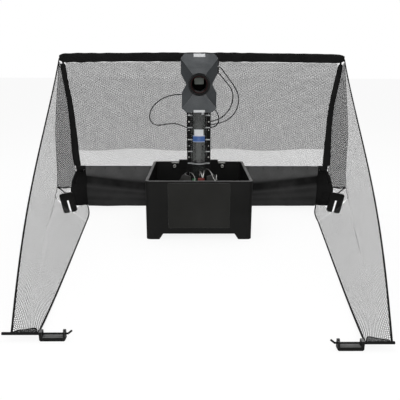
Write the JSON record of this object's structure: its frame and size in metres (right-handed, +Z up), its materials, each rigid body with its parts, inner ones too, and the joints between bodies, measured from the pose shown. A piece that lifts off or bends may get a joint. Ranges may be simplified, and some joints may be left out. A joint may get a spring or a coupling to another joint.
{
  "type": "table tennis robot with ball-catching net",
  "caption": "Ball-throwing robot: a bucket with a column and a faceted wheel head, behind it a net frame with cloth trough and side wings that catches returned balls.",
  "frame": {"origin": "middle of the outline on the surface that it stands on", "axes": "+X to the right seen from the front, +Y to the back, +Z up; balls leave towards -Y"},
  "size_m": [1.1, 1.0444, 0.577],
  "materials": {
    "black_plastic": "satin moulded",
    "plate_plastic": "satin moulded",
    "rotor_plastic": "semi-gloss moulded",
    "red_plastic": "gloss moulded",
    "black_metal": "black anodised",
    "motor_metal": "black painted",
    "steel": "brushed",
    "light_plate": "satin",
    "clear_tube": "clear",
    "label": "printed film, left blank",
    "shell": "grey-blue gloss",
    "tyre": "matt",
    "black_rubber": "matt",
    "cable": "satin",
    "black_fabric": "woven",
    "grey_fabric": "woven",
    "netting": "knotted mesh",
    "wire": "black coated"
  },
  "bodies": {
    "stand": {"bucket": "black_plastic", "front_plate": "plate_plastic", "pickup_base": "black_plastic", "feed_plate": "black_metal", "pickup_motor": "motor_metal", "motor_cover": "red_plastic", "pickup_cowl": "rotor_plastic", "rail_left": "black_metal", "rail_right": "black_metal", "ball_tube": "clear_tube", "tube_collar_1": "steel", "tube_collar_2": "steel", "tube_collar_3": "steel", "tube_collar_4": "steel", "tube_collar_5": "steel", "tube_label": "label", "column_cap": "black_metal", "pan_motor": "black_plastic", "cable_left": "cable", "cable_right_outer": "cable", "cable_right_inner": "cable", "cable_short": "cable", "net_bracket": "black_metal", "net_crossbar": "black_metal", "top_rail": "black_fabric", "rear_net": "netting", "rear_curtain": "netting", "trough": "grey_fabric", "upright_left": "black_fabric", "upright_right": "black_fabric", "flap_left": "netting", "flap_right": "netting", "wing_left": "netting", "wing_right": "netting", "trough_end_left": "black_fabric", "trough_end_right": "black_fabric", "fork_clip_left": "black_plastic", "fork_clip_right": "black_plastic", "wing_rod_left": "wire", "wing_rod_right": "wire"},
    "pickup_spinner": {"pickup_rotor": "rotor_plastic", "rotor_cap": "red_plastic"},
    "pan_stage": {"yoke": "black_plastic", "elbow": "black_plastic"},
    "pan_drive_gear": {"pan_pinion": "steel"},
    "tilt_stage": {"cradle": "black_plastic", "ball_stop": "black_rubber"},
    "head": {"head_sleeve": "black_plastic", "head_back_plate": "light_plate", "head_cover": "shell", "outlet_ring": "black_rubber", "upper_wheel_motor": "motor_metal", "lower_wheel_motor": "motor_metal", "cable_plugs": "black_plastic"},
    "upper_wheel": {"upper_wheel_hub": "light_plate", "upper_wheel_tyre": "tyre"},
    "lower_wheel": {"lower_wheel_hub": "light_plate", "lower_wheel_tyre": "tyre"},
    "left_clip": {"edge_clip_left": "black_plastic"},
    "right_clip": {"edge_clip_right": "black_plastic"}
  },
  "joints": [
    {"name": "pickup_spin", "type": "hinge", "parent": "stand", "child": "pickup_spinner", "pos_m": [-0.014, 0.19975, 0.06], "axis": [0, 0, 1], "continuous": true},
    {"name": "pan", "type": "hinge", "parent": "stand", "child": "pan_stage", "pos_m": [-0.014, 0.24975, 0.3925], "axis": [0, 0, 1], "range_deg": [-25, 25], "deforming": ["cable_short"]},
    {"name": "pan_drive", "type": "hinge", "parent": "stand", "child": "pan_drive_gear", "pos_m": [-0.014, 0.29975, 0.3925], "axis": [0, 0, 1], "range_deg": [-100, 100]},
    {"name": "tilt", "type": "hinge", "parent": "pan_stage", "child": "tilt_stage", "pos_m": [-0.014, 0.20975, 0.4725], "axis": [1, 0, 0], "range_deg": [-30, 10], "deforming": ["cable_right_outer", "cable_right_inner"]},
    {"name": "roll", "type": "hinge", "parent": "tilt_stage", "child": "head", "pos_m": [-0.014, 0.18975, 0.4725], "axis": [0, 1, 0], "range_deg": [-90, 90], "deforming": ["cable_left"]},
    {"name": "upper_wheel_spin", "type": "hinge", "parent": "head", "child": "upper_wheel", "pos_m": [-0.014, 0.15275, 0.5235], "axis": [1, 0, 0], "continuous": true},
    {"name": "lower_wheel_spin", "type": "hinge", "parent": "head", "child": "lower_wheel", "pos_m": [-0.014, 0.15275, 0.4215], "axis": [1, 0, 0], "continuous": true},
    {"name": "left_clip_swing", "type": "hinge", "parent": "stand", "child": "left_clip", "pos_m": [-0.3055, -0.48125, 0.014], "axis": [1, 0, 0], "range_deg": [-110, 110]},
    {"name": "right_clip_swing", "type": "hinge", "parent": "stand", "child": "right_clip", "pos_m": [0.2705, -0.51625, 0.014], "axis": [1, 0, 0], "range_deg": [-110, 110]}
  ],
  "couplings": [
    {"joint": "pan_drive", "follows": "pan", "ratio": -4}
  ]
}
